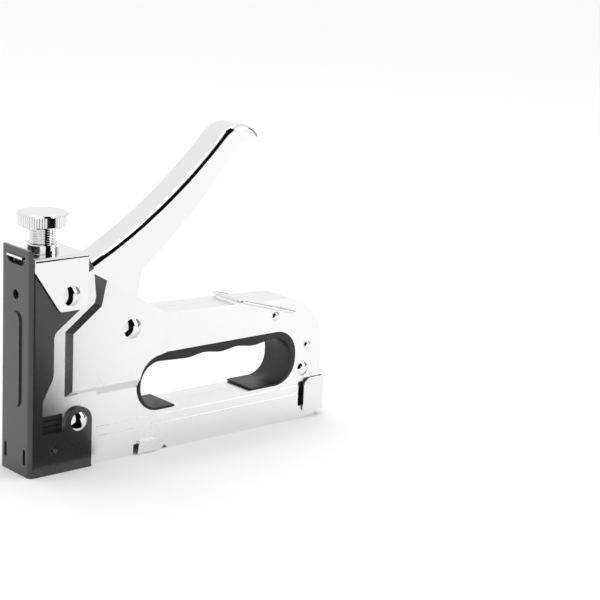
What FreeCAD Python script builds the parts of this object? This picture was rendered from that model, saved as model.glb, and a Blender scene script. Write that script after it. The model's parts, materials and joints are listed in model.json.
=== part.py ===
import FreeCAD, Part
import math
import os
from FreeCAD import Placement, Rotation, Vector

# Hand staple gun of pressed steel: two body halves, a folded nose cover, a squeeze
# lever, a spring-driven striker, and a magazine whose rail pulls out of the rear.
# Millimetres. X runs from the nose front (0) to the rear, Y = 0 is the mid plane
# and Z = 0 is the flat underside. The squeeze lever is drawn open.

doc = FreeCAD.newDocument("StapleGun")
sheet = doc.addObject("Spreadsheet::Sheet", "Sizes")

# alias: value, meaning
SIZES = {
    "body_length": (157.5, "nose front to rear of the handle"),
    "rear_step": (155.5, "rear of the body beside the rail latch"),
    "body_front": (4.5, "front edge of the body halves, under the nose cover"),
    "front_height": (89.0, "top of the body halves at the nose"),
    "sheet_steel": (1.0, "thickness of the body halves"),
    "seam_gap": (0.05, "half the gap between the two halves"),
    "grip_half": (8.8, "half width over handle and magazine"),
    "front_half": (9.9, "half width of the body just behind the nose cover"),
    "bulge_half": (11.0, "half width over the raised lever housing"),
    "cover_half": (11.2, "half width over the nose cover"),
    "cover_steel": (1.1, "thickness of the nose cover"),
    "cover_height": (94.6, "top of the nose cover"),
    "bracket_half": (12.3, "half width over the top bracket"),
    "bracket_steel": (0.95, "thickness of the top bracket"),
    "bracket_top": (91.5, "top face of the top bracket"),
    "bracket_rear": (26.7, "rear edge of the top bracket"),
    "pivot_x": (50.0, "lever pivot behind the nose front"),
    "pivot_z": (56.5, "lever pivot above the underside"),
    "pivot_pin_rad": (3.0, "radius of the pivot pin"),
    "bush_rad": (4.2, "outer radius of the lever bush"),
    "running_gap": (0.05, "radial clearance of pins and rivets in their holes"),
    "lever_half": (7.5, "half width of the lever channel"),
    "lever_steel": (1.0, "thickness of the lever channel"),
    "lever_fold": (2.4, "outside radius of the lever's top folds"),
    "fork_outer": (6.3, "half width over the lifting fork"),
    "fork_steel": (1.2, "thickness of the lifting fork"),
    "prong_reach": (34.0, "lever pivot to the centre of the prong tip"),
    "prong_drop": (21.5, "angle of the prongs below level, in degrees"),
    "prong_rad": (2.0, "radius of the rounded prong tip"),
    "screw_x": (12.3, "axis of the power adjusting screw"),
    "screw_rad": (5.5, "outside radius of the screw thread"),
    "thread_pitch": (1.0, "pitch of the screw thread"),
    "thread_depth": (0.55, "depth of the screw thread"),
    "screw_foot": (81.4, "lower end of the adjusting screw"),
    "knob_foot": (102.4, "underside of the knob"),
    "knob_height": (5.5, "height of the knob"),
    "knob_rad": (10.5, "radius of the knob over its knurling"),
    "collar_rad": (6.7, "radius of the threaded collar"),
    "collar_height": (3.8, "height of the threaded collar"),
    "spring_mean": (3.8, "mean radius of the drive spring"),
    "spring_wire": (1.6, "wire diameter of the drive spring"),
    "spring_turns": (12, "turns of the drive spring"),
    "carrier_foot": (22.0, "underside of the striker carrier"),
    "carrier_top": (50.0, "top of the striker carrier"),
    "yoke_foot": (46.5, "underside of the carrier's yoke arms"),
    "seat_foot": (78.0, "face of the spring seat"),
    "blade_width": (11.2, "width of the driver blade"),
    "blade_steel": (0.8, "thickness of the driver blade"),
    "channel_half": (7.0, "half width over the magazine channel"),
    "channel_top": (16.5, "top of the magazine channel"),
    "rail_half": (4.4, "half width over the staple rail"),
    "rail_end": (147.0, "rear end of the staple rail"),
    "rod_z": (7.5, "guide rod above the underside"),
    "rod_rad": (1.2, "radius of the guide rod"),
    "opening_left": (54.3, "front end of the hand opening"),
    "opening_right": (142.3, "rear end of the hand opening"),
    "opening_foot": (17.8, "floor of the hand opening"),
    "opening_top": (43.0, "roof of the hand opening"),
    "bail_x": (139.8, "pivot of the lock bail behind the nose front"),
    "bail_z": (51.1, "pivot of the lock bail above the underside"),
    "bail_reach": (33.0, "pivot of the lock bail to its crossbar"),
    "bail_wire": (0.8, "radius of the lock bail's wire"),
}
for row, (alias, (value, meaning)) in enumerate(SIZES.items(), start=1):
    sheet.set("A%d" % row, meaning)
    sheet.set("B%d" % row, str(value))
    sheet.setAlias("B%d" % row, alias)
doc.recompute()

size = {alias: float(sheet.get(alias)) for alias in SIZES}
LEFT, RIGHT = -1, 1
pieces = []


# ---- sketch outlines -------------------------------------------------------

def corner(before, here, after, radius):
    """The two tangent points and the middle of the arc that rounds one corner."""
    here = Vector(here[0], here[1], 0)
    to_before = (Vector(before[0], before[1], 0) - here).normalize()
    to_after = (Vector(after[0], after[1], 0) - here).normalize()
    half_angle = to_before.getAngle(to_after) / 2
    setback = radius / math.tan(half_angle)
    middle = (to_before + to_after).normalize()
    centre = here + middle * (radius / math.sin(half_angle))
    return here + to_before * setback, centre - middle * radius, here + to_after * setback


def outline(points):
    """Closed outline of lines and tangent arcs from corners (x, y) or (x, y, radius)."""
    edges, ends = [], []
    count = len(points)
    for index, point in enumerate(points):
        if len(point) == 3:
            ends.append(corner(points[index - 1], point, points[(index + 1) % count], point[2]))
        else:
            plain = Vector(point[0], point[1], 0)
            ends.append((plain, None, plain))
    for index, (start, middle, end) in enumerate(ends):
        if middle is not None:
            edges.append(Part.Arc(start, middle, end))
        following = ends[(index + 1) % count][0]
        if end.distanceToPoint(following) > 1e-6:
            edges.append(Part.LineSegment(end, following))
    return edges


def box(x1, y1, x2, y2, radius=None):
    """Rectangle between two corners, with rounded corners if a radius is given."""
    corners = [(x1, y1), (x2, y1), (x2, y2), (x1, y2)]
    return outline([c + (radius,) if radius else c for c in corners])


def disc(x, y, radius):
    return [Part.Circle(Vector(x, y, 0), Vector(0, 0, 1), radius)]


# ---- features --------------------------------------------------------------

def new_piece(label):
    piece = doc.addObject("PartDesign::Body", label)
    piece.Label = label
    pieces.append(piece)
    return piece


def draw(piece, plane, shapes, base="0", shift=(0, 0)):
    """Sketch on one of the piece's origin planes, moved along its normal by base."""
    sketch = piece.newObject("Sketcher::SketchObject", piece.Label + "_sketch")
    support = [f for f in piece.Origin.OriginFeatures if f.Role == plane][0]
    sketch.AttachmentSupport = [(support, "")]
    sketch.MapMode = "FlatFace"
    sketch.AttachmentOffset = Placement(Vector(shift[0], shift[1], 0), Rotation())
    sketch.setExpression("AttachmentOffset.Base.z", base)
    sketch.addGeometry(shapes, False)
    return sketch


def extrude(piece, kind, sketch, length, both, reverse):
    feature = piece.newObject("PartDesign::" + kind, piece.Label + "_" + kind.lower())
    feature.Profile = sketch
    feature.setExpression("Length", length)
    feature.SideType = "Symmetric" if both else "One side"
    feature.Reversed = reverse
    return feature


def add(piece, plane, shapes, length, base="0", both=False, reverse=False):
    """Pad a sketch along its plane's normal."""
    return extrude(piece, "Pad", draw(piece, plane, shapes, base), length, both, reverse)


def cut(piece, plane, shapes, length, base="0", both=False, reverse=False):
    """Pocket a sketch against its plane's normal, and check that it removed metal."""
    doc.recompute()
    before = piece.Shape.Volume
    feature = extrude(piece, "Pocket", draw(piece, plane, shapes, base), length, both, reverse)
    doc.recompute()
    if not piece.Shape.Volume < before - 1e-3:
        raise ValueError("a pocket in %s cuts nothing" % piece.Label)
    return feature


def side_base(side, distance):
    """Offset of a sketch on the XZ plane, whose normal is -Y, for one side."""
    return distance if side == LEFT else "-(%s)" % distance


def add_side(piece, side, shapes, start, stop):
    """Pad a side view outline from one distance off the mid plane to another."""
    return add(piece, "XZ_Plane", shapes, "(%s) - (%s)" % (stop, start),
               base=side_base(side, start), reverse=(side == RIGHT))


def cut_side(piece, side, shapes, start, stop):
    return cut(piece, "XZ_Plane", shapes, "(%s) - (%s)" % (stop, start),
               base=side_base(side, start), reverse=(side == LEFT))


def loft_side(piece, kind, side, inner_shapes, inner_at, outer_shapes, outer_at):
    """Ruled loft between two side view outlines at two distances off the mid plane."""
    loft = piece.newObject("PartDesign::" + kind, piece.Label + "_loft")
    loft.Profile = draw(piece, "XZ_Plane", inner_shapes, side_base(side, inner_at))
    loft.Sections = [draw(piece, "XZ_Plane", outer_shapes, side_base(side, outer_at))]
    loft.Ruled = True
    return loft


def turn(piece, kind, plane, points, shift=(0, 0), base="0"):
    """Revolve a profile of (radius, height) points about its sketch's vertical axis."""
    sketch = draw(piece, plane, points, base, shift)
    feature = piece.newObject("PartDesign::" + kind, piece.Label + "_" + kind.lower())
    feature.Profile = sketch
    feature.ReferenceAxis = (sketch, ["V_Axis"])
    feature.Angle = 360
    return feature


def turn_cross(piece, points, x, z):
    """Revolve a profile about an axis that runs along Y through (x, z)."""
    return turn(piece, "Revolution", "XY_Plane", points, shift=(x, 0), base="%s" % z)


def turn_upright(piece, points, x):
    """Revolve a profile about an axis that runs along Z through x."""
    return turn(piece, "Revolution", "XZ_Plane", points, shift=(x, 0))


# ---- shared outlines -------------------------------------------------------

sheet_steel = size["sheet_steel"]
LINER_CORNER = 11.5
handle_front = (68.0, 60.4)
slope_front = (29.7, 82.8)


def opening(grow, floor=None):
    """Outline of the hand opening, grown outwards by a margin."""
    low = size["opening_foot"] - grow if floor is None else floor
    return box(size["opening_left"] - grow, low, size["opening_right"] + grow,
               size["opening_top"] + grow, LINER_CORNER + grow)


def on_slope(x):
    """Height of the body's sloping top edge at x."""
    run = (x - slope_front[0]) / (handle_front[0] - slope_front[0])
    return slope_front[1] + run * (handle_front[1] - slope_front[1])


rear_round = 24.0
handle_rear_z = 56.9
side_view = [
    (size["body_front"], 0), (size["rear_step"], 0, 1.5), (size["rear_step"], 19.2),
    (size["body_length"], 19.2), (size["body_length"], handle_rear_z, rear_round),
    handle_front + (5.0,), (27.0, on_slope(27.0)), (27.0, size["front_height"]),
    (size["body_front"], size["front_height"]),
]
# The inside runs past the outline wherever the two halves stay open.
inside_view = [
    (-2, -2), (162, -2), (162, 19.2), (size["body_length"] - sheet_steel, 20.2),
    (size["body_length"] - sheet_steel, handle_rear_z - sheet_steel, rear_round - sheet_steel),
    (handle_front[0] + 1.5, handle_front[1] - sheet_steel), (66.5, 67.0), (28.0, 95.0),
    (-2, 95.0),
]
front_zone = [
    (size["body_front"], 0), (33.2, 0), (33.2, 62.0), (31.0, on_slope(31.0)),
    (27.0, on_slope(27.0)), (27.0, size["front_height"]),
    (size["body_front"], size["front_height"]),
]
front_zone_inside = [
    (-2, -2), (32.2, -2), (32.2, 61.0), (30.2, 95.0), (-2, 95.0),
]
bulge_root = [
    (14.1, 30.0), (14.1, 60.6), (28.6, 71.2), (31.6, on_slope(31.6)),
    (67.9, on_slope(67.9)), (70.5, 60.2), (70.5, 30.0),
]
bulge_crown = [
    (20.5, 33.8), (20.5, 58.2), (34.2, 68.2), (36.6, on_slope(36.6)),
    (64.2, on_slope(64.2)), (64.8, on_slope(64.8)), (64.8, 33.8),
]
bulge_root_inside = [
    (15.3, 31.0), (15.3, 60.0), (29.6, 70.4), (32.6, 84.0), (67.2, 63.6), (69.5, 59.0),
    (69.5, 31.0),
]
bulge_crown_inside = [
    (21.5, 34.8), (21.5, 57.7), (35.1, 67.6), (37.6, 81.6), (63.4, 66.0), (63.8, 61.4),
    (63.8, 34.8),
]
pivot = (size["pivot_x"], size["pivot_z"])
nose_rivet_at = (23.9, 20.6)
bracket_rivet_at = (18.6, 74.8)
rear_rivet_at = (147.0, 23.4)
handle_rivets_at = [(129.7, 50.3), (149.2, 34.1)]
bail_pivot = (size["bail_x"], size["bail_z"])
gap = size["running_gap"]


# ---- body halves -----------------------------------------------------------

def body_shell(label, side):
    """One pressed half: side wall, raised lever housing and returned edges."""
    shell = new_piece(label)
    add_side(shell, side, outline(side_view), "Sizes.seam_gap", "Sizes.grip_half")
    add_side(shell, side, outline(front_zone), "Sizes.seam_gap", "Sizes.front_half")
    # The magazine wall is swaged out a little below the hand opening.
    add_side(shell, side, outline([(32, 0), (154.0, 0), (154.0, 15.8), (32, 15.8)]),
             "Sizes.grip_half - 0.4", "Sizes.grip_half + 0.35")
    loft_side(shell, "AdditiveLoft", side, outline(bulge_root), "Sizes.grip_half",
              outline(bulge_crown), "Sizes.bulge_half")
    # Lanced pocket in the magazine wall, open at its front end.
    add_side(shell, side, outline([(54.6, 0.4), (65.4, 0.4, 1.2), (65.0, 5.6, 1.2), (55.4, 5.6, 0.8)]),
             "Sizes.grip_half - 0.6", "Sizes.grip_half + 1.5")

    wall = "Sizes.sheet_steel"
    cut_side(shell, side, outline(inside_view) + opening(sheet_steel), "0",
             "Sizes.grip_half - " + wall)
    cut_side(shell, side, outline(front_zone_inside), "0", "Sizes.front_half - " + wall)
    loft_side(shell, "SubtractiveLoft", side, outline(bulge_root_inside),
              "Sizes.grip_half - %s - 0.02" % wall,
              outline(bulge_crown_inside), "Sizes.bulge_half - " + wall)
    cut_side(shell, side, outline([(53.0, -1), (64.4, -1), (64.0, 4.6), (53.0, 4.6)]),
             "0", "Sizes.grip_half + 0.6")
    cut_side(shell, side, opening(0), "0", "Sizes.bulge_half + 1")
    # Swage line, pocket notch, latch slot and the window beside the nose.
    cut_side(shell, side, box(35.0, 11.8, 145.0, 12.2), "Sizes.grip_half", "Sizes.grip_half + 1")
    cut_side(shell, side, disc(69.5, 0, 1.4), "0", "Sizes.bulge_half")
    cut_side(shell, side, box(144.8, 6.0, 147.6, 17.6, 0.8), "Sizes.grip_half - 2",
             "Sizes.bulge_half")
    cut_side(shell, side, box(6.4, 12.0, 16.5, 25.1), "Sizes.grip_half - 2", "Sizes.bulge_half")

    holes = [
        (pivot, size["pivot_pin_rad"]), (nose_rivet_at, 2.0), (bracket_rivet_at, 1.8),
        (rear_rivet_at, 1.8), (bail_pivot, size["bail_wire"]),
    ] + [(place, 1.2) for place in handle_rivets_at]
    for (x, z), radius in holes:
        cut_side(shell, side, disc(x, z, radius + gap), "Sizes.grip_half - 2",
                 "Sizes.bulge_half + 1")
    return shell


body_shell("left_body_shell", LEFT)
body_shell("right_body_shell", RIGHT)


# ---- nose cover ------------------------------------------------------------

ear_rad = 6.3


def nose_cover():
    """Black folded channel round the nose, with ears for the lower rivet."""
    cover = new_piece("nose_cover")
    outer, inner = size["cover_half"], size["cover_half"] - size["cover_steel"]
    steel = size["cover_steel"]
    fold = 2.2
    plan = outline([(0, -outer, fold), (40, -outer), (40, -inner), (steel, -inner, fold - steel),
                    (steel, inner, fold - steel), (40, inner), (40, outer), (0, outer, fold)])
    add(cover, "XY_Plane", plan, "Sizes.cover_height")
    # Side view of the wings; everything outside it is cut away. Their top stays under the
    # bracket's inner fold, and above it only the front wall goes on, in front of the bracket.
    wing_top, wall = size["bracket_top"] - size["bracket_steel"] - 0.75, 1.2
    x, z = nose_rivet_at
    rim = x + ear_rad
    wing = [
        (-5, -5), (rim, -5), (rim, z + ear_rad, ear_rad - 0.01), (17.7, z + ear_rad, ear_rad - 0.3),
        (17.0, 17.6), (6.0, 17.6), (6.0, 31.5, 6.0), (11.2, 41.5, 8.0), (11.2, 59.5, 4.0),
        (24.5, 69.0), (27.0, 71.5), (27.0, 83.3), (30.0, 84.6), (27.0, wing_top), (wall, wing_top),
        (wall, 100), (-5, 100),
    ]
    away = outline([(-9, -9), (60, -9), (60, 120), (-9, 120)]) + outline(wing)
    cut(cover, "XZ_Plane", away, "60", both=True)
    # Rounded top corners of the front wall.
    top = size["cover_height"]
    for way in (-1, 1):
        cut(cover, "YZ_Plane",
            outline([(way * 12, top - 3), (way * 12, top + 1), (way * 7.5, top + 1),
                     (way * (outer - 0.9), top - 0.5, 2.4)]),
            "6", base="-1", reverse=True)
    # Embossed rib up the front wall, hollow behind.
    add(cover, "YZ_Plane", box(-3.8, 28, 3.8, 68.3, 3.7), "0.75", reverse=True)
    cut(cover, "YZ_Plane", box(-2.9, 29, 2.9, 67.3, 2.8), "1.5", base="1.2")
    cut(cover, "YZ_Plane", disc(0, 75.2, 2.0), "9", both=True)
    # Slot for the bracket's tab, rounded below, and the two narrow slots at the foot.
    cut(cover, "YZ_Plane",
        outline([(-6.6, 91.5), (-6.6, 87.7, 3.0), (6.6, 87.7, 3.0), (6.6, 91.5)]), "9", both=True)
    for way in (-1, 1):
        cut(cover, "YZ_Plane", box(way * 7.0 - 0.9, 5.0, way * 7.0 + 0.9, 11.6, 0.8), "9", both=True)
    for hole_x, hole_z, radius in [(11.7, 10.1, 1.75), nose_rivet_at + (2.0 + gap,),
                                   bracket_rivet_at + (1.8 + gap,)]:
        cut(cover, "XZ_Plane", disc(hole_x, hole_z, radius), "60", both=True)
    return cover


nose_cover()


def top_bracket():
    """Folded saddle that closes the top of the nose and holds the threaded collar."""
    bracket = new_piece("top_bracket")
    outer, steel = size["bracket_half"], size["bracket_steel"]
    inner, top, rear = outer - steel, size["bracket_top"], size["bracket_rear"]
    saddle = outline([(-outer, 60), (-outer, top, 1.6), (outer, top, 1.6), (outer, 60),
                      (inner, 60), (inner, top - steel, 0.7), (-inner, top - steel, 0.7),
                      (-inner, 60)])
    add(bracket, "YZ_Plane", saddle, "Sizes.bracket_rear")
    cheek = [(1.4, top + 5), (1.4, 86.0, 1.5), (13.2, 68.6, 2.5), (24.2, 68.6, 1.0),
             (rear, 71.2, 1.0), (rear, top + 5)]
    away = outline([(-9, 50), (60, 50), (60, top + 9), (-9, top + 9)]) + outline(cheek)
    cut(bracket, "XZ_Plane", away, "60", both=True)
    add(bracket, "YZ_Plane", outline([(-5.6, top - steel - 0.1), (5.6, top - steel - 0.1),
                                      (5.6, top - 0.1), (-5.6, top - 0.1)]),
        "3", base="-0.9")
    cut(bracket, "XY_Plane", disc(size["screw_x"], 0, size["screw_rad"] + 0.1), "9",
        base="Sizes.bracket_top + 1")
    cut(bracket, "XZ_Plane", disc(bracket_rivet_at[0], bracket_rivet_at[1], 1.8 + gap),
        "60", both=True)
    return bracket


top_bracket()


def screw_collar():
    collar = new_piece("screw_collar")
    base, height, outer = size["bracket_top"], size["collar_height"], size["collar_rad"]
    bore = size["screw_rad"] + gap
    turn_upright(collar, outline([(bore, base), (outer, base), (outer, base + height, 0.5),
                                  (bore, base + height)]), size["screw_x"])
    return collar


screw_collar()


def nose_guide():
    """Black guide inside the nose that steadies the magazine channel and the staples."""
    guide = new_piece("nose_guide")
    outer, inner = size["front_half"] - sheet_steel - 0.1, size["channel_half"] + 0.15
    for side in (LEFT, RIGHT):
        add_side(guide, side, outline([(3.6, 1.0), (17.4, 1.0), (17.4, 25.6), (3.6, 25.6)]),
                 "%s" % inner, "%s" % outer)
    add(guide, "XZ_Plane", box(3.9, 17.2, 17.4, 19.6), "%s" % (2 * outer), both=True)
    for side in (LEFT, RIGHT):
        # Tabs that show in the slots at the foot of the nose cover.
        add_side(guide, side, box(0.45, 5.5, 3.7, 11.1), "%s" % inner, "%s" % (inner + 0.65))
        # Long ribs and a recessed front, which show in the window of the body half.
        cut_side(guide, side, box(3.5, 12.5, 7.2, 25.7), "%s" % (outer - 0.6), "12")
        for groove in (19.9, 22.3):
            cut_side(guide, side, box(7.1, groove, 17.6, groove + 0.6), "%s" % (outer - 0.6), "12")
    return guide


nose_guide()


# ---- rivets, pins and spacers ----------------------------------------------

rivet_tail = 0.7            # thickness of the flat closing head inside


def dome(head, rise, face):
    """Spherical cap over a rivet head: its rim, its crown and a point half way along the arc."""
    ball = (head ** 2 + rise ** 2) / (2 * rise)
    half_way = math.asin(head / ball) / 2
    middle = Vector(ball * math.sin(half_way), face + rise - ball * (1 - math.cos(half_way)), 0)
    return Vector(head, face, 0), middle, Vector(0, face + rise, 0)


def rivet_profile(shank, head, rise, face, tail=None):
    """Half section of a rivet: domed heads of radius head outside both faces."""
    rim, middle, crown = dome(head, rise, face)
    edges = [Part.LineSegment(Vector(shank, face, 0), rim), Part.Arc(rim, middle, crown)]
    if tail is None:
        low_rim, low_middle, low_crown = [Vector(v.x, -v.y, 0) for v in (rim, middle, crown)]
        edges += [
            Part.LineSegment(crown, low_crown),
            Part.Arc(low_crown, low_middle, low_rim),
            Part.LineSegment(low_rim, Vector(shank, -face, 0)),
            Part.LineSegment(Vector(shank, -face, 0), Vector(shank, face, 0)),
        ]
    else:
        tail_face, tail_head = tail
        foot = tail_face - rivet_tail
        chain = [crown, Vector(0, foot, 0), Vector(tail_head, foot, 0),
                 Vector(tail_head, tail_face, 0), Vector(shank, tail_face, 0),
                 Vector(shank, face, 0)]
        edges += [Part.LineSegment(a, b) for a, b in zip(chain, chain[1:])]
    return edges


def mirrored(edges):
    """The same sketch edges on the other side of the mid plane."""
    flipped = []
    for edge in edges:
        copy = edge.copy()
        copy.mirror(Vector(0, 0, 0), Vector(1, 0, 0))
        flipped.append(copy)
    return flipped


def through_rivet(label, places, shank, head, rise, face):
    rivet = new_piece(label)
    for x, z in places:
        turn_cross(rivet, rivet_profile(shank, head, rise, face), x, z)
    return rivet


through_rivet("pivot_pin", [pivot], size["pivot_pin_rad"], 4.4, 1.7, size["bulge_half"])
through_rivet("nose_rivet", [nose_rivet_at], 2.0, 4.0, 1.5, size["cover_half"])
through_rivet("rear_rivet", [rear_rivet_at], 1.8, 3.2, 1.1, size["grip_half"])
through_rivet("handle_rivets", handle_rivets_at, 1.2, 2.1, 0.8, size["grip_half"])

bracket_rivets = new_piece("bracket_rivets")
short_rivet = rivet_profile(1.8, 4.2, 1.6, size["bracket_half"],
                            tail=(size["front_half"] - sheet_steel, 2.6))
turn_cross(bracket_rivets, short_rivet, *bracket_rivet_at)
turn_cross(bracket_rivets, mirrored(short_rivet), *bracket_rivet_at)


def sleeve(label, place, bore, outer, half_length):
    """Plain tube across the tool, round a rivet or the pivot pin."""
    tube = new_piece(label)
    turn_cross(tube, box(bore, -half_length, outer, half_length), *place)
    return tube


sleeve("nose_spacer", nose_rivet_at, 2.1, 3.4, size["front_half"] - sheet_steel - 0.1)
sleeve("rear_spacer", rear_rivet_at, 1.9, 3.0, size["grip_half"] - sheet_steel - 0.1)
sleeve("lever_bush", pivot, size["pivot_pin_rad"] + gap, size["bush_rad"], size["lever_half"])


# ---- magazine and grip -----------------------------------------------------

def magazine_channel():
    """Inverted channel that the staples slide in, crown up against its roof."""
    channel = new_piece("magazine_channel")
    outer, top = size["channel_half"], size["channel_top"]
    inner = outer - sheet_steel
    section = outline([(-outer, 0.6), (-inner, 0.6), (-inner, top - 1, 0.4), (inner, top - 1, 0.4),
                       (inner, 0.6), (outer, 0.6), (outer, top, 1.3), (-outer, top, 1.3)])
    add(channel, "YZ_Plane", section, "136", base="4")
    return channel


magazine_channel()


def grip_liner():
    """Moulded lining of the hand opening, thin and wavy above, open along the floor."""
    liner = new_piece("grip_liner")
    half = size["grip_half"] + 0.35
    inner_left, inner_right = size["opening_left"] + 1.6, size["opening_right"] - 3.2
    roof, floor = size["opening_top"] - 3.0, size["opening_foot"] + 1.1
    add(liner, "XZ_Plane", opening(-0.1), "%s" % (2 * half), both=True)
    ridge, pitch, first, wave = 1.5, 18.0, inner_right - 13.0, 18.0
    waves = []
    for finger in range(3):
        start = first - pitch * finger
        waves += [(start, roof, wave), (start - pitch / 2, roof - ridge, wave)]
    hand = [(inner_left, floor, 10.0), (inner_right, floor, 9.5), (inner_right, roof, 9.5)]
    hand += waves + [(inner_left + 0.8, roof, 9.5)]
    cut(liner, "XZ_Plane", outline(hand), "60", both=True)
    cut(liner, "XZ_Plane", outline([(71.5, 10), (120.5, 10), (116.5, 21.0), (75.5, 21.0)]), "60",
        both=True)
    return liner


grip_liner()


# ---- lever -----------------------------------------------------------------

def circle_centre(a, b, c):
    """Centre of the circle through three points."""
    ab, bc = b - a, c - b
    across_ab, across_bc = Vector(-ab.y, ab.x, 0), Vector(-bc.y, bc.x, 0)
    gap_between = (b + c) * 0.5 - (a + b) * 0.5
    turn_of = across_ab.x * across_bc.y - across_ab.y * across_bc.x
    along = (gap_between.x * across_bc.y - gap_between.y * across_bc.x) / turn_of
    return (a + b) * 0.5 + across_ab * along


def lever_crest(depth):
    """Points of the grip's arc and of the curled tip's arc, moved inwards by depth."""
    inward = Vector(0.58, -0.81, 0) * depth
    root, middle, grip_end = [Vector(x, y, 0) + inward
                              for x, y in [(28.0, 84.2), (64.2, 105.4), (97.0, 133.6)]]
    tip = Vector(117.0, 133.4, 0) + Vector(-0.7, -0.9, 0) * depth
    # The tip's arc leaves the grip's arc along the same tangent.
    radial = (grip_end - circle_centre(root, middle, grip_end)).normalize()
    inward_normal = radial if radial.y < 0 else radial * -1
    chord = tip - grip_end
    radius = chord.dot(chord) / (2 * inward_normal.dot(chord))
    centre = grip_end + inward_normal * radius
    crown = centre + ((grip_end + tip) * 0.5 - centre).normalize() * radius
    return [root, middle, grip_end], [grip_end, crown, tip]


def lever_outline(depth, lower):
    """Arc over the grip, arc over the curled tip, then the lower edge's corners."""
    grip, curl = lever_crest(depth)
    root, tip = grip[0], curl[2]
    chain = outline([(tip.x, tip.y)] + lower + [(root.x, root.y)])
    # The chain's last line would join root and tip directly: the two arcs replace it.
    return chain[:-1] + [Part.Arc(*grip), Part.Arc(*curl)]


LEVER_LOWER = [
    (115.4, 131.2, 0.8), (105.6, 130.0, 7.0), (97.3, 118.6, 60.0), (83.0, 102.8, 60.0),
    (65.0, 86.8, 20.0), (56.8, 80.4, 5.0), (54.4, 68.0, 20.0), (57.5, 56.0, 8.0),
    (55.0, 49.6, 5.0), (43.5, 50.6, 5.0), (22.2, 69.0, 2.0), (24.0, 78.0, 20.0),
]


def lever_handle():
    """Squeeze lever: one folded channel, open below, its cheeks carrying the pivot."""
    lever = new_piece("lever_handle")
    half, steel = size["lever_half"], size["lever_steel"]
    add(lever, "XZ_Plane", lever_outline(0, LEVER_LOWER), "2 * Sizes.lever_half", both=True)
    doc.recompute()
    round_folds(lever, half)
    hollow = [
        (118.0, 128.0), (105.0, 126.0), (97.0, 112.0), (66.0, 80.0), (60.0, 60.0), (60.0, 44.0),
        (38.0, 44.0), (14.0, 66.0), (14.0, 80.0),
    ]
    cut(lever, "XZ_Plane", lever_outline(steel, hollow), "2 * (Sizes.lever_half - Sizes.lever_steel)",
        both=True)
    x, z = pivot
    cut(lever, "XZ_Plane", disc(x, z, size["bush_rad"]), "60", both=True)
    for place in fork_rivets_at:
        cut(lever, "XZ_Plane", disc(place[0], place[1], 1.3 + gap), "60", both=True)
    return lever


def round_folds(lever, half):
    """Fillet the two long folds between the lever's top and its cheeks."""
    outer_edges = []
    for number, edge in enumerate(lever.Shape.Edges, start=1):
        bounds = edge.BoundBox
        flat = abs(bounds.YMax - bounds.YMin) < 1e-6 and abs(abs(bounds.YMax) - half) < 1e-6
        crest = edge.Curve.TypeId == "Part::GeomCircle" and edge.Length > 15
        if flat and crest and bounds.ZMax > 100 and on_crest(edge):
            outer_edges.append("Edge%d" % number)
    base = lever.Tip
    fillet = lever.newObject("PartDesign::Fillet", "lever_folds")
    fillet.Base = (base, outer_edges)
    fillet.setExpression("Radius", "Sizes.lever_fold")


def on_crest(edge):
    """True for the two arcs of the lever's top edge."""
    crest = Part.Wire([Part.Arc(*points).toShape() for points in lever_crest(0)])
    crest.rotate(Vector(0, 0, 0), Vector(1, 0, 0), 90)
    crest.translate(Vector(0, edge.BoundBox.YMax, 0))
    here = edge.valueAt((edge.FirstParameter + edge.LastParameter) / 2)
    return crest.distToShape(Part.Vertex(here))[0] < 0.05


fork_rivets_at = [(45.0, 66.5), (39.0, 60.5)]
lever_handle()


def lifting_fork():
    """Hardened fork inside the lever: its two prongs lift the striker's yoke."""
    fork = new_piece("lifting_fork")
    outer, steel = size["fork_outer"], size["fork_steel"]
    x, z = pivot
    angle = math.radians(180 + size["prong_drop"])
    reach, rad = size["prong_reach"], size["prong_rad"]
    tip = (x + reach * math.cos(angle), z + reach * math.sin(angle))
    along = (math.cos(angle), math.sin(angle))
    across = (-along[1], along[0])
    # The prong ends in half a circle about its tip centre.
    end = 0.999 * rad
    lower_end = (tip[0] + end * across[0] + rad * along[0], tip[1] + end * across[1] + rad * along[1])
    upper_end = (tip[0] - end * across[0] + rad * along[0], tip[1] - end * across[1] + rad * along[1])
    side_shape = [
        (lower_end[0], lower_end[1], 0.98 * rad), (46.0, 50.2, 4.0), (57.0, 49.5, 6.0),
        (57.0, 63.0, 6.0), (48.0, 70.5, 3.0), (40.5, 69.0, 3.0), (36.0, 59.0, 4.0),
        (40.2, 55.0, 2.0), (upper_end[0], upper_end[1], 0.98 * rad),
    ]
    add(fork, "XZ_Plane", outline(side_shape), "2 * Sizes.fork_outer", both=True)
    inner = outer - steel
    cut(fork, "XZ_Plane", outline([(10, 30), (70, 30), (70, 68.9), (43.5, 68.9), (34, 63)]),
        "%s" % (2 * inner), both=True)
    cut(fork, "XZ_Plane", disc(x, z, size["bush_rad"] + gap), "60", both=True)
    for place in fork_rivets_at:
        cut(fork, "XZ_Plane", disc(place[0], place[1], 1.3 + gap), "60", both=True)
    return fork


lifting_fork()

fork_rivets = new_piece("fork_rivets")
short_fork_rivet = rivet_profile(1.3, 2.0, 0.1, size["lever_half"],
                                 tail=(size["fork_outer"] - size["fork_steel"], 2.0))
for place in fork_rivets_at:
    turn_cross(fork_rivets, short_fork_rivet, *place)
    turn_cross(fork_rivets, mirrored(short_fork_rivet), *place)


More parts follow.
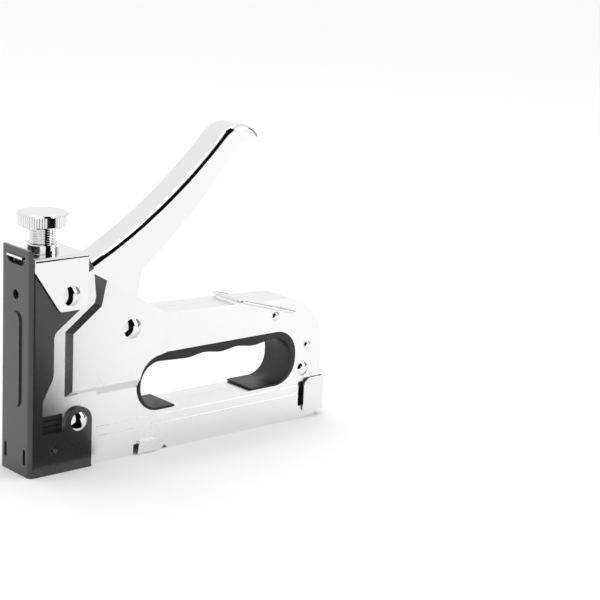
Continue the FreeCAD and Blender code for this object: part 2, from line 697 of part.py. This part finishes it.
def coil(label, centre_x, centre_y, axis, start, length, mean, wire, turns):
    """Coil spring swept along a helix: upright, or lying along X or across Y."""
    spring = doc.addObject("Part::Feature", label)
    spring.Label = label
    helix = Part.makeHelix(length / turns, length, mean)
    ring = Part.Wire(Part.makeCircle(wire / 2, Vector(mean, 0, 0), Vector(0, 1, 0)))
    solid = Part.Wire(helix.Edges).makePipeShell([ring], True, True)
    turned = {
        "Z": Rotation(),
        "X": Rotation(Vector(0, 1, 0), 90),
        "Y": Rotation(Vector(1, 0, 0), -90),
    }[axis]
    base = {
        "Z": Vector(centre_x, centre_y, start),
        "X": Vector(start, centre_x, centre_y),
        "Y": Vector(centre_x, start, centre_y),
    }[axis]
    spring.Shape = solid
    spring.Placement = Placement(base, turned)
    pieces.append(spring)
    return spring


# ---- striker ---------------------------------------------------------------

def striker_carrier():
    """Steel carrier behind the driver blade: front plate, spring floor and yoke arms."""
    carrier = new_piece("striker_carrier")
    foot, top, yoke = size["carrier_foot"], size["carrier_top"], size["yoke_foot"]
    add(carrier, "XZ_Plane", box(2.45, foot, 3.45, top), "13", both=True)
    add(carrier, "XZ_Plane", outline([(3.0, foot), (17.8, foot), (17.8, foot + 1.2), (3.0, foot + 1.2)]),
        "13", both=True)
    for side in (LEFT, RIGHT):
        add_side(carrier, side, box(3.0, yoke, 18.6, top, 0.45), "4.9", "6.5")
    for z in blade_rivets_z:
        cut(carrier, "YZ_Plane", disc(0, z, 1.2 + gap), "20", both=True)
    return carrier


blade_rivets_z = (33.0, 43.0)
striker_carrier()

driver_blade = new_piece("driver_blade")
half_blade = size["blade_width"] / 2
add(driver_blade, "YZ_Plane",
    outline([(-half_blade, 1.6), (half_blade, 1.6), (half_blade, size["carrier_top"], 1.5),
             (-half_blade, size["carrier_top"], 1.5)]), "Sizes.blade_steel", base="1.6")
for z in blade_rivets_z:
    cut(driver_blade, "YZ_Plane", disc(0, z, 1.2 + gap), "20", both=True)

blade_rivets = new_piece("blade_rivets")
for z in blade_rivets_z:
    add(blade_rivets, "YZ_Plane", disc(0, z, 1.2), "2.1", base="1.6")
    add(blade_rivets, "YZ_Plane", disc(0, z, 2.0), "0.5", base="3.45")

spring_foot = size["carrier_foot"] + 1.2 + size["spring_wire"] / 2 + 0.05
spring_length = size["seat_foot"] - spring_foot - size["spring_wire"] / 2 - 0.05
coil("drive_spring", size["screw_x"], 0, "Z", spring_foot, spring_length,
     size["spring_mean"], size["spring_wire"], int(size["spring_turns"]))


# ---- power adjuster --------------------------------------------------------

def spring_seat():
    seat = new_piece("spring_seat")
    foot = size["seat_foot"]
    turn_upright(seat, outline([(0, foot - 4), (2.7, foot - 4, 0.8), (2.7, foot), (4.6, foot),
                                (4.6, size["screw_foot"] - 0.05), (0, size["screw_foot"] - 0.05)]),
                 size["screw_x"])
    return seat


spring_seat()


def adjusting_screw():
    """Threaded shank; its top is pressed into the knob."""
    screw = new_piece("adjusting_screw")
    foot, knob_foot = size["screw_foot"], size["knob_foot"]
    crest, root = size["screw_rad"], size["screw_rad"] - size["thread_depth"]
    pitch = size["thread_pitch"]
    profile = [(0, foot), (root, foot)]
    # Each turn of the fine thread is one ridge of the half section.
    for ridge in range(int((knob_foot - 0.6 - foot) / pitch)):
        z = foot + 0.3 + ridge * pitch
        profile += [(root, z), (crest, z + 0.40 * pitch), (crest, z + 0.52 * pitch), (root, z + 0.92 * pitch)]
    profile += [(root, knob_foot + 3.5), (0, knob_foot + 3.5)]
    turn_upright(screw, outline(profile), size["screw_x"])
    return screw


adjusting_screw()


def knurled_knob():
    """Round knob with straight knurling and a dished top rim."""
    knob = new_piece("knurled_knob")
    foot, top, rad = size["knob_foot"], size["knob_foot"] + size["knob_height"], size["knob_rad"]
    socket = size["screw_rad"] - size["thread_depth"] + 0.02
    turn_upright(knob, outline([(socket, foot), (rad - 0.6, foot), (rad, foot + 0.6), (rad, top - 0.9),
                                (rad - 0.9, top, 0.6), (0, top), (0, foot + 3.6),
                                (socket, foot + 3.6)]), size["screw_x"])
    doc.recompute()
    groove = cut(knob, "XY_Plane",
                 outline([(size["screw_x"] + rad + 1, -0.42), (size["screw_x"] + rad + 1, 0.42),
                          (size["screw_x"] + rad - 0.45, 0.0)]), "%s" % size["knob_height"],
                 base="Sizes.knob_foot + Sizes.knob_height")
    axis_sketch = draw(knob, "XZ_Plane", disc(0, 0, 1), "0", (size["screw_x"], 0))
    ring = knob.newObject("PartDesign::PolarPattern", "knurling")
    ring.Originals = [groove]
    ring.Axis = (axis_sketch, ["V_Axis"])
    ring.Angle = 360
    ring.Occurrences = 64
    knob.Tip = ring
    return knob


knurled_knob()


# ---- rail, pusher and latch ------------------------------------------------

def staple_rail():
    """Channel, open above, that carries the guide rod and slides out of the rear."""
    rail = new_piece("staple_rail")
    outer, steel = size["rail_half"], 0.8
    section = outline([(-outer, 12.5), (-outer, 1.2, 1.0), (outer, 1.2, 1.0), (outer, 12.5),
                       (outer - steel, 12.5), (outer - steel, 1.2 + steel), (steel - outer, 1.2 + steel),
                       (steel - outer, 12.5)])
    add(rail, "YZ_Plane", section, "Sizes.rail_end - 4.6", base="4.6")
    add(rail, "YZ_Plane", box(0.4 - outer, 1.6, outer - 0.4, 12.3), "1", base="4.6")
    cut(rail, "YZ_Plane", disc(0, size["rod_z"], size["rod_rad"] + gap), "3", base="6.5")
    return rail


staple_rail()

guide_rod = new_piece("guide_rod")
add(guide_rod, "YZ_Plane", disc(0, size["rod_z"], size["rod_rad"]), "Sizes.rail_end - 5", base="4.8")

block_front = size["rail_end"] - 5.0
rail_end_block = new_piece("rail_end_block")
block_half = size["rail_half"] - 0.85
add(rail_end_block, "YZ_Plane", box(-block_half, 2.05, block_half, 13.4, 0.5), "5", base=str(block_front))
add(rail_end_block, "YZ_Plane", box(-5.7, 1.4, 5.7, 13.4, 0.8), "6.8", base=str(size["rail_end"]))
cut(rail_end_block, "YZ_Plane", disc(0, size["rod_z"], size["rod_rad"] + gap), "9",
    base="%s" % (block_front + 8))


def staple_pusher():
    """Saddle that rides over the rail and pushes the staples to the nose."""
    pusher = new_piece("staple_pusher")
    section = outline([(-5.6, 2.4), (-4.75, 2.4), (-4.75, 12.9), (4.75, 12.9), (4.75, 2.4),
                       (5.6, 2.4), (5.6, 13.9, 1.0), (-5.6, 13.9, 1.0)])
    add(pusher, "YZ_Plane", section, "17.6", base="3.6")
    add(pusher, "YZ_Plane", box(-3.2, 4.4, 3.2, 13.0), "2.0", base="18.0")
    cut(pusher, "YZ_Plane", disc(0, size["rod_z"], size["rod_rad"] + gap), "9", base="22")
    return pusher


staple_pusher()

coil("pusher_spring", 0, size["rod_z"], "X", 20.6, block_front - 21.2, 2.2, 0.7, 26)

def rail_latch():
    """U-shaped push latch round the rear of the magazine."""
    latch = new_piece("rail_latch")
    inner, outer = size["grip_half"] + 0.75, size["grip_half"] + 1.65
    plan = outline([(147.2, -outer), (159.6, -outer, 1.6), (159.6, outer, 1.6), (147.2, outer),
                    (147.2, inner), (158.6, inner, 0.7), (158.6, -inner, 0.7), (147.2, -inner)])
    add(latch, "XY_Plane", plan, "15.6", base="3.2")
    pad = [(147.2, 3.2, 1.2), (163, 3.2), (163, 18.8), (147.2, 18.8, 4.0)]
    away = outline([(140, 0), (166, 0), (166, 22), (140, 22)]) + outline(pad)
    cut(latch, "XZ_Plane", away, "60", both=True)
    add(latch, "XZ_Plane", outline([(156.9, 4.0), (158.9, 4.0), (158.9, 12.6), (156.9, 12.6)]), "9",
        both=True)
    return latch


rail_latch()

coil("latch_spring", 0, 8.3, "X", 154.2, 2.3, 1.7, 0.45, 3)


# ---- lock bail and lever return spring -------------------------------------

def wire_path(points, bend):
    """Straight runs joined by arcs of one bend radius."""
    edges, start = [], points[0]
    for before, here, after in zip(points, points[1:], points[2:]):
        to_before, to_after = (before - here).normalize(), (after - here).normalize()
        half_angle = to_before.getAngle(to_after) / 2
        setback = bend / math.tan(half_angle)
        middle = (to_before + to_after).normalize()
        centre = here + middle * (bend / math.sin(half_angle))
        first, last = here + to_before * setback, here + to_after * setback
        edges.append(Part.LineSegment(start, first).toShape())
        edges.append(Part.Arc(first, centre - middle * bend, last).toShape())
        start = last
    edges.append(Part.LineSegment(start, points[-1]).toShape())
    return Part.Wire(edges)


def bent_wire(label, points, bend, radius):
    wire = doc.addObject("Part::Feature", label)
    wire.Label = label
    path = wire_path(points, bend)
    heading = points[1] - points[0]
    ring = Part.Wire(Part.makeCircle(radius, points[0], heading))
    wire.Shape = path.makePipeShell([ring], True, False)
    pieces.append(wire)
    return wire


bail_rise = math.radians(16.2)
bail_half = size["grip_half"] + 1.35
crossbar = Vector(size["bail_x"] - size["bail_reach"] * math.cos(bail_rise), 0,
                  size["bail_z"] + size["bail_reach"] * math.sin(bail_rise))
hook = Vector(size["bail_x"], 0, size["bail_z"])
hook_in = size["grip_half"] - 1.6
bent_wire("lock_bail", [
    hook + Vector(0, -hook_in, 0), hook + Vector(0, -bail_half, 0), crossbar + Vector(0, -bail_half, 0),
    crossbar + Vector(0, bail_half, 0), hook + Vector(0, bail_half, 0), hook + Vector(0, hook_in, 0),
], 1.6, size["bail_wire"] - 0.02)

coil("lever_return_spring", size["pivot_x"], size["pivot_z"], "Y", -3.2, 6.4, 5.3, 1.2, 5)


# ---- check and write -------------------------------------------------------

doc.recompute()
for item in doc.Objects:
    if "Invalid" in item.State or "Error" in item.State:
        raise ValueError("%s failed to build: %s" % (item.Label, item.State))

os.makedirs("parts", exist_ok=True)
for piece in pieces:
    shape = piece.Shape
    if shape.isNull() or not shape.isValid() or not shape.Solids:
        raise ValueError("%s has no valid solid" % piece.Label)
    shape.exportStep("parts/%s.step" % piece.Label)
    print("%-22s %d solid(s) %9.1f mm3" % (piece.Label, len(shape.Solids), shape.Volume))
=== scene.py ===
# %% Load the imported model
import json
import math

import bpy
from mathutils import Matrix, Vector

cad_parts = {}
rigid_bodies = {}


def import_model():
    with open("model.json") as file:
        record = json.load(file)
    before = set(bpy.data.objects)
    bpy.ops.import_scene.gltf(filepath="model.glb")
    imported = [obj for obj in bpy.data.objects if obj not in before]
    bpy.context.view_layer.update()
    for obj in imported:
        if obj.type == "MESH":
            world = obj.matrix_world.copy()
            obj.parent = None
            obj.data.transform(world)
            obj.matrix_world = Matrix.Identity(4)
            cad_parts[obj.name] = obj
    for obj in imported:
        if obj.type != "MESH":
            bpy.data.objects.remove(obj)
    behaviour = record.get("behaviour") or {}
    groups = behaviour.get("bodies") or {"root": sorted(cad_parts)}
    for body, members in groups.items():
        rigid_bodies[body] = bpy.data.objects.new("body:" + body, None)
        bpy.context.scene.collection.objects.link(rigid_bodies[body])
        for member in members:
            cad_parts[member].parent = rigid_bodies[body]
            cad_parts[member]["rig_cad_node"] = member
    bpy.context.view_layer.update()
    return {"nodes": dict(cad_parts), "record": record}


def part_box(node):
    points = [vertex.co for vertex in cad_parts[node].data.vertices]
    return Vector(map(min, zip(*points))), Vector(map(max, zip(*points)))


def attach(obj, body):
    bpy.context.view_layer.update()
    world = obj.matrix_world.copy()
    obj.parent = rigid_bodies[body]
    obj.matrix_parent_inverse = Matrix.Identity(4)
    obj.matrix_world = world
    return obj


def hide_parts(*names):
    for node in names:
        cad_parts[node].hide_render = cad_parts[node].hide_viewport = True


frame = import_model()

# %% [markdown]
# # A hand staple gun in pressed steel
# The tool is two pressed, satin plated steel halves with a black enamelled nose, a bright lever and
# a knurled knob on top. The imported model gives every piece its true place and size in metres, so
# this lesson adds only what makes steel look like steel: smooth curves, eased edges, a real screw
# thread, plating, enamel and moulding texture, and surroundings worth reflecting.

MM = 0.001
slot_of = {row["node"]: row["material_slot"] for row in frame["record"]["subparts"]}
body_of = {
    node: body
    for body, nodes in frame["record"]["behaviour"]["bodies"].items()
    for node in nodes
}


def only(piece):
    """Select this piece alone and make it the active one."""
    bpy.ops.object.select_all(action="DESELECT")
    piece.select_set(True)
    bpy.context.view_layer.objects.active = piece


# %% [markdown]
# ## Camera
# A long lens from the front left, a little above, keeps the sides of the tool nearly parallel, as
# in a catalogue view. The camera is turned by its own three axes, with a slight roll.

# %% Camera
CAMERA_AT = Vector((-0.38416, -0.60876, 0.25741))
AZIMUTH, ELEVATION, ROLL = (math.radians(angle) for angle in (-41.341, 14.143, -2.658))

towards_camera = Vector((
    math.sin(AZIMUTH) * math.cos(ELEVATION),
    -math.cos(AZIMUTH) * math.cos(ELEVATION),
    math.sin(ELEVATION),
))
level = Vector((math.cos(AZIMUTH), math.sin(AZIMUTH), 0))
upright = towards_camera.cross(level)
across = level * math.cos(ROLL) - upright * math.sin(ROLL)
upward = level * math.sin(ROLL) + upright * math.cos(ROLL)

FOCAL_MM, FILM_MM = 110.06, 36
NEAREST, FARTHEST = 0.01, 20
lens = bpy.data.cameras.new("catalogue_lens")
lens.lens, lens.sensor_width = FOCAL_MM, FILM_MM
lens.clip_start, lens.clip_end = NEAREST, FARTHEST
camera = bpy.data.objects.new("catalogue_camera", lens)
camera.matrix_world = Matrix.Translation(CAMERA_AT) @ Matrix(
    (across, upward, towards_camera)).transposed().to_4x4()
bpy.context.scene.collection.objects.link(camera)
bpy.context.scene.camera = camera
print("camera at", [round(v, 3) for v in CAMERA_AT])

# %% [markdown]
# ## Colour and node helpers
# Paint charts give colours as sRGB hex values, and a shader wants linear light, so one function
# turns them. Another adds a node with its settings and links. A third turns the real size of a
# pattern in millimetres into the scale that a texture node asks for.


# %% Colour and node helpers
def linear(hex_code):
    """sRGB hex value as linear red, green, blue and alpha."""
    parts = [int(hex_code[i:i + 2], 16) / 255 for i in (1, 3, 5)]
    return [p / 12.92 if p <= 0.04045 else ((p + 0.055) / 1.055) ** 2.4 for p in parts] + [1]


def grain_scale(size_mm):
    """Texture scale, in repeats per metre, for grains of this size."""
    return 1000 / size_mm


def add_node(tree, kind, inputs=None, **settings):
    """Adds a node; an input is given a value, or a socket that is linked to it."""
    node = tree.nodes.new(kind)
    for name, value in settings.items():
        setattr(node, name, value)
    for name, value in (inputs or {}).items():
        if isinstance(value, bpy.types.NodeSocket):
            tree.links.new(value, node.inputs[name])
        else:
            node.inputs[name].default_value = value
    return node


bpy.context.scene.view_settings.view_transform = "Standard"


# %% [markdown]
# ## Finishes
# Each finish starts from what the real surface is. Plated steel is a metal with a faint orange
# peel and slight smears that vary its gloss. Enamel and moulded plastic are coloured and dull
# underneath, with gloss only at the skin. The helper builds that common layout: two noises, a fine
# one that raises the surface and a broad one that varies the roughness.


# %% Surface finish helper
RELIEF_HEIGHT = 0.02 * MM
# A noise rarely leaves this middle band, so the band is spread over the whole range of gloss.
NOISE_LOW, NOISE_HIGH = 0.3, 0.7


def finish(name, colour, metallic, gloss, peel_mm, peel, smear_mm, stretch=(1, 1, 1)):
    """A surface with fine relief of peel_mm grains and roughness that varies over smear_mm."""
    material = bpy.data.materials.new(name)
    material.use_nodes = True
    tree = material.node_tree
    tree.nodes.clear()
    place = add_node(tree, "ShaderNodeTexCoord")
    turned = add_node(tree, "ShaderNodeMapping",
                      {"Vector": place.outputs["Object"], "Scale": stretch})
    fine = add_node(tree, "ShaderNodeTexNoise", {
        "Vector": turned.outputs["Vector"], "Scale": grain_scale(peel_mm), "Detail": 2})
    broad = add_node(tree, "ShaderNodeTexNoise", {
        "Vector": turned.outputs["Vector"], "Scale": grain_scale(smear_mm), "Detail": 3})
    smear = add_node(tree, "ShaderNodeMapRange", {
        "Value": broad.outputs["Fac"], "From Min": NOISE_LOW, "From Max": NOISE_HIGH,
        "To Min": gloss[0], "To Max": gloss[1]})
    relief = add_node(tree, "ShaderNodeBump", {
        "Height": fine.outputs["Fac"], "Strength": peel, "Distance": RELIEF_HEIGHT})
    skin = add_node(tree, "ShaderNodeBsdfPrincipled", {
        "Base Color": linear(colour), "Metallic": metallic,
        "Roughness": smear.outputs["Result"], "Normal": relief.outputs["Normal"]})
    add_node(tree, "ShaderNodeOutputMaterial", {"Surface": skin.outputs["BSDF"]})
    return material


# %% Plated and bare steels
# Satin chrome: blasted sheet under bright plate, so reflections are soft but the metal is pale.
satin_chrome = finish("satin_chrome_plate", "#EFEFF0", 1, (0.23, 0.28), 2.5, 0.03, 20)
# Bright chrome: polished before plating, near mirror with faint rubbing marks.
bright_chrome = finish("bright_chrome_plate", "#E9E9EA", 1, (0.05, 0.11), 3.0, 0.03, 9)
# Zinc plate: grey and cloudy, with short rolling marks along the strip.
zinc_plate = finish("zinc_plate", "#A4A6A9", 1, (0.30, 0.45), 0.4, 0.5, 6, (0.2, 1, 1))
# Spring steel: drawn wire and tempered blade, darker under its oil.
spring_steel = finish("oiled_spring_steel", "#77787B", 1, (0.22, 0.36), 0.3, 0.4, 5)

# %% Enamel, phosphate and moulding
# Baked enamel: black paint that flowed out smooth, leaving a slow orange peel.
black_enamel = finish("baked_black_enamel", "#29292C", 0, (0.22, 0.30), 2.2, 0.12, 12)
enamel_skin = black_enamel.node_tree.nodes["Principled BSDF"]
enamel_skin.inputs["Coat Weight"].default_value = 0.5
enamel_skin.inputs["Coat Roughness"].default_value = 0.12
# Phosphate: a thin crystalline black, matt and slightly sparkling.
phosphate = finish("black_phosphate", "#1A1A1B", 0, (0.45, 0.6), 0.2, 0.8, 4)
# Moulded plastic: the fine spark-eroded texture of its mould, drawn a little coarse to show.
moulded_plastic = finish("spark_textured_plastic", "#0A0A0B", 0, (0.36, 0.5), 0.35, 0.9, 8)

finish_for = {
    "satin_chrome": satin_chrome,
    "bright_chrome": bright_chrome,
    "zinc_steel": zinc_plate,
    "spring_steel": spring_steel,
    "black_enamel": black_enamel,
    "black_phosphate": phosphate,
    "moulded_liner": moulded_plastic,
}


def coat(piece, slot_name):
    """Give the whole piece one finish."""
    piece.data.materials.clear()
    piece.data.materials.append(finish_for[slot_name])


for node, cad_piece in frame["nodes"].items():
    coat(cad_piece, slot_of[node])
print("finishes:", len(finish_for))

# %% [markdown]
# ## Pressed pieces with eased edges
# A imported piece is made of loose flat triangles, which a mirror-like plate would show. So each
# shiny piece is copied, its corners are merged, its flat areas are joined into single faces, and
# its sharp edges get a small bevel: stamping and plating always leave them slightly round, and that
# round edge is what catches the light. The flat faces then keep flat normals by their area.


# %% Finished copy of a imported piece
SAME_CORNER = 0.002 * MM
SAME_PLANE_DEG, EASED_DEG, SMOOTH_DEG = 0.4, 45, 28
EASE_SEGMENTS = 2


def finished_copy(node, name, edge_mm, smooth_deg):
    """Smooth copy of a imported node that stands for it, with edges eased by edge_mm."""
    only(frame["nodes"][node])
    bpy.ops.object.duplicate()
    piece = bpy.context.object
    bpy.ops.object.parent_clear(type="CLEAR")
    del piece["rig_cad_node"]
    piece.name = piece.data.name = name
    bpy.ops.mesh.customdata_custom_splitnormals_clear()
    bpy.ops.object.mode_set(mode="EDIT")
    bpy.ops.mesh.select_all(action="SELECT")
    bpy.ops.mesh.remove_doubles(threshold=SAME_CORNER)
    bpy.ops.mesh.dissolve_limited(angle_limit=math.radians(SAME_PLANE_DEG))
    bpy.ops.object.mode_set(mode="OBJECT")
    if edge_mm:
        ease = piece.modifiers.new("eased_edge", "BEVEL")
        ease.width, ease.segments = edge_mm * MM, EASE_SEGMENTS
        ease.limit_method, ease.angle_limit = "ANGLE", math.radians(EASED_DEG)
        bpy.ops.object.modifier_apply(modifier=ease.name)
    bpy.ops.object.shade_smooth_by_angle(angle=math.radians(smooth_deg))
    weigh = piece.modifiers.new("flat_by_area", "WEIGHTED_NORMAL")
    weigh.keep_sharp = True
    bpy.ops.object.modifier_apply(modifier=weigh.name)
    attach(piece, body_of[node])
    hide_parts(node)
    print(name, "faces:", len(piece.data.polygons))


# %% Pressed and turned pieces
PRESSED = {
    "left_body_shell": ("left_pressed_half", 0.25),
    "right_body_shell": ("right_pressed_half", 0.25),
    "nose_cover": ("enamelled_nose", 0.25),
    "top_bracket": ("plated_bracket", 0.2),
    "lever_handle": ("plated_lever", 0.2),
    "grip_liner": ("moulded_grip_liner", 0.4),
    "rail_latch": ("pressed_latch", 0.2),
    "screw_collar": ("turned_collar", 0.25),
    "knurled_knob": ("turned_knob", 0.0),
    "pivot_pin": ("domed_pivot", 0.0),
    "nose_rivet": ("domed_nose_rivet", 0.0),
    "rear_rivet": ("domed_rear_rivet", 0.0),
    "handle_rivets": ("domed_handle_rivets", 0.0),
    "bracket_rivets": ("domed_bracket_rivets", 0.0),
    "lock_bail": ("bent_wire_bail", 0.0),
}
# The raised panel of each half has flanks of about 20 degrees, which a wide angle would melt.
CRISP = {"left_body_shell": 12, "right_body_shell": 12, "nose_cover": 15}
for node, (name, edge) in PRESSED.items():
    finished_copy(node, name, edge, CRISP.get(node, SMOOTH_DEG))

# %% [markdown]
# ## Screw thread
# The adjusting screw is cut with a fine V thread that climbs 1 mm a turn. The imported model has
# plain ridges, so here one V is drawn beside the axis and the Screw modifier winds it up the shank,
# which gives the true helix with its slanted lines. A core closes the inside.

# %% Adjusting screw
low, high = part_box("adjusting_screw")
PITCH, THREAD_DEEP = 1.0 * MM, 0.55 * MM
STEPS_ROUND, THREAD_SMOOTH_DEG = 48, 30
screw_x, screw_radius = (low.x + high.x) / 2, (high.x - low.x) / 2
turns_up = int((high.z - low.z) / PITCH) - 1

bpy.ops.object.select_all(action="DESELECT")
vee = bpy.data.meshes.new("threaded_screw")
root = screw_radius - THREAD_DEEP
vee.from_pydata(
    [(root, 0, low.z), (screw_radius, 0, low.z + PITCH / 2), (root, 0, low.z + PITCH)],
    [(0, 1), (1, 2)], [])
screw = bpy.data.objects.new("threaded_screw", vee)
bpy.context.scene.collection.objects.link(screw)
only(screw)
wind = screw.modifiers.new("helix", "SCREW")
wind.axis, wind.angle, wind.screw_offset, wind.iterations = "Z", 2 * math.pi, PITCH, turns_up
wind.steps = wind.render_steps = STEPS_ROUND
wind.use_merge_vertices, wind.merge_threshold = True, 0.001 * MM
bpy.ops.object.modifier_apply(modifier=wind.name)

CORE_OVERLAP, CORE_EASE = 0.02 * MM, 0.2 * MM
bpy.ops.mesh.primitive_cylinder_add(
    vertices=STEPS_ROUND, radius=root + CORE_OVERLAP, depth=high.z - low.z,
    location=(0, 0, (high.z + low.z) / 2))
bpy.ops.object.mode_set(mode="EDIT")
bpy.ops.mesh.bevel(offset=CORE_EASE, segments=EASE_SEGMENTS, affect="EDGES")
bpy.ops.object.mode_set(mode="OBJECT")
screw.select_set(True)
bpy.context.view_layer.objects.active = screw
bpy.ops.object.join()
screw.location = (screw_x, 0, 0)
bpy.ops.object.transform_apply(location=True, rotation=True, scale=True)
bpy.ops.object.mode_set(mode="EDIT")
bpy.ops.mesh.select_all(action="SELECT")
bpy.ops.mesh.normals_make_consistent(inside=False)
bpy.ops.object.mode_set(mode="OBJECT")
bpy.ops.object.shade_smooth_by_angle(angle=math.radians(THREAD_SMOOTH_DEG))
coat(screw, "bright_chrome")
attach(screw, "screw")
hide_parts("adjusting_screw")
print("thread turns:", turns_up, "faces:", len(screw.data.polygons))

# %% [markdown]
# ## Surroundings and light
# Polished plate has hardly any colour of its own: it shows the room. Here the room is white paper
# with a dark screen in front of the tool, on a dark cloth. In the main view the screen draws black
# lines along the folds and a black spot on each rivet, while the flat sides mirror the paper to the
# right of it and stay pale. Only reflections see the screen, cloth and card, so they neither hide
# the tool nor shade it. They are placed for that one view, and from square on to the side they
# turn the lever and the front of the body much darker.

# %% Room
room = bpy.data.worlds.new("paper_room")
bpy.context.scene.world = room
room.use_nodes = True
PAPER_WHITE = 0.98
paper = room.node_tree.nodes["Background"]
paper.inputs["Color"].default_value = (1, 1, 1, 1)
paper.inputs["Strength"].default_value = PAPER_WHITE
print("room brightness:", PAPER_WHITE)


# %% Sheets that only reflections see
def reflected_sheet(name, finish_name, colour, shine, corners, faces):
    """Flat sheet that is seen only in reflections; shine is its specular level."""
    material = bpy.data.materials.new(finish_name)
    material.use_nodes = True
    skin = material.node_tree.nodes["Principled BSDF"]
    skin.inputs["Base Color"].default_value = linear(colour)
    skin.inputs["Specular IOR Level"].default_value = shine
    mesh = bpy.data.meshes.new(name)
    mesh.from_pydata(corners, [], faces)
    mesh.materials.append(material)
    sheet = bpy.data.objects.new(name, mesh)
    bpy.context.scene.collection.objects.link(sheet)
    sheet.visible_camera = sheet.visible_diffuse = sheet.visible_shadow = False
    sheet.visible_transmission = False


# %% Dark screen on its cloth
# The screen widens above STEP_UP, where only the lever's long folds mirror it, and a canopy at its
# top leans back over the tool.
SCREEN_AWAY, SCREEN_LEFT, SCREEN_RIGHT, SCREEN_TALL = -0.32, -0.05, 0.17, 1.0
STEP_UP, STEP_RIGHT, CANOPY_BACK = 0.10, 0.28, 0.02
CLOTH_LEFT, CLOTH_RIGHT, CLOTH_NEAR, CLOTH_LIFT = 0.0, 0.04, -0.02, 0.0005
reflected_sheet("dark_screen", "black_felt", "#0C0C0C", 0, [
    (CLOTH_LEFT, CLOTH_NEAR, CLOTH_LIFT), (CLOTH_RIGHT, CLOTH_NEAR, CLOTH_LIFT),
    (SCREEN_RIGHT, SCREEN_AWAY, CLOTH_LIFT), (SCREEN_LEFT, SCREEN_AWAY, CLOTH_LIFT),
    (SCREEN_RIGHT, SCREEN_AWAY, STEP_UP), (SCREEN_LEFT, SCREEN_AWAY, STEP_UP),
    (STEP_RIGHT, SCREEN_AWAY, STEP_UP), (STEP_RIGHT, SCREEN_AWAY, SCREEN_TALL),
    (SCREEN_LEFT, SCREEN_AWAY, SCREEN_TALL),
    (STEP_RIGHT, CANOPY_BACK, SCREEN_TALL), (SCREEN_LEFT, CANOPY_BACK, SCREEN_TALL),
], [(0, 1, 2, 3), (3, 2, 4, 5), (5, 4, 6, 7, 8), (8, 7, 9, 10)])
print("screen width in mm:", round((SCREEN_RIGHT - SCREEN_LEFT) / MM))

# %% Grey card
# A mid grey card far to the right gives the faces that turn rearwards a tone of their own.
CARD_X, CARD_NEAR, CARD_FAR, CARD_TALL = 0.6, -0.3, 0.05, 0.4
PAPER_SHINE = 0.5
reflected_sheet("grey_card", "grey_card_paper", "#8C8C8C", PAPER_SHINE, [
    (CARD_X, CARD_NEAR, 0.0), (CARD_X, CARD_FAR, 0.0),
    (CARD_X, CARD_FAR, CARD_TALL), (CARD_X, CARD_NEAR, CARD_TALL),
], [(0, 1, 2, 3)])
print("grey card height in mm:", round(CARD_TALL / MM))


# %% Soft boxes
TOOL_MIDDLE = Vector((0.075, 0, 0.06))


def soft_box(name, place, watts, width):
    """Square soft light that faces the middle of the tool."""
    lamp = bpy.data.lights.new(name, "AREA")
    lamp.energy, lamp.size = watts, width
    box = bpy.data.objects.new(name, lamp)
    box.location = place
    aim = TOOL_MIDDLE - Vector(place)
    box.rotation_euler = aim.to_track_quat("-Z", "Y").to_euler()
    bpy.context.scene.collection.objects.link(box)
    print(name, watts, "W")


soft_box("overhead_box", (0.1, 0.1, 1.1), 2.2, 0.9)
soft_box("right_box", (0.9, -0.7, 0.5), 1.2, 0.6)

# %% Floor
FLOOR_RADIUS = 4
bpy.ops.object.select_all(action="DESELECT")
bpy.ops.mesh.primitive_circle_add(vertices=96, radius=FLOOR_RADIUS, fill_type="NGON", location=(0, 0, 0))
floor = bpy.context.object
floor.name = "pale_floor"
floor.data.materials.append(finish("matt_white_paper", "#FBFBFB", 0, (0.8, 0.9), 1.0, 0.1, 40))
print("floor radius in m:", FLOOR_RADIUS)
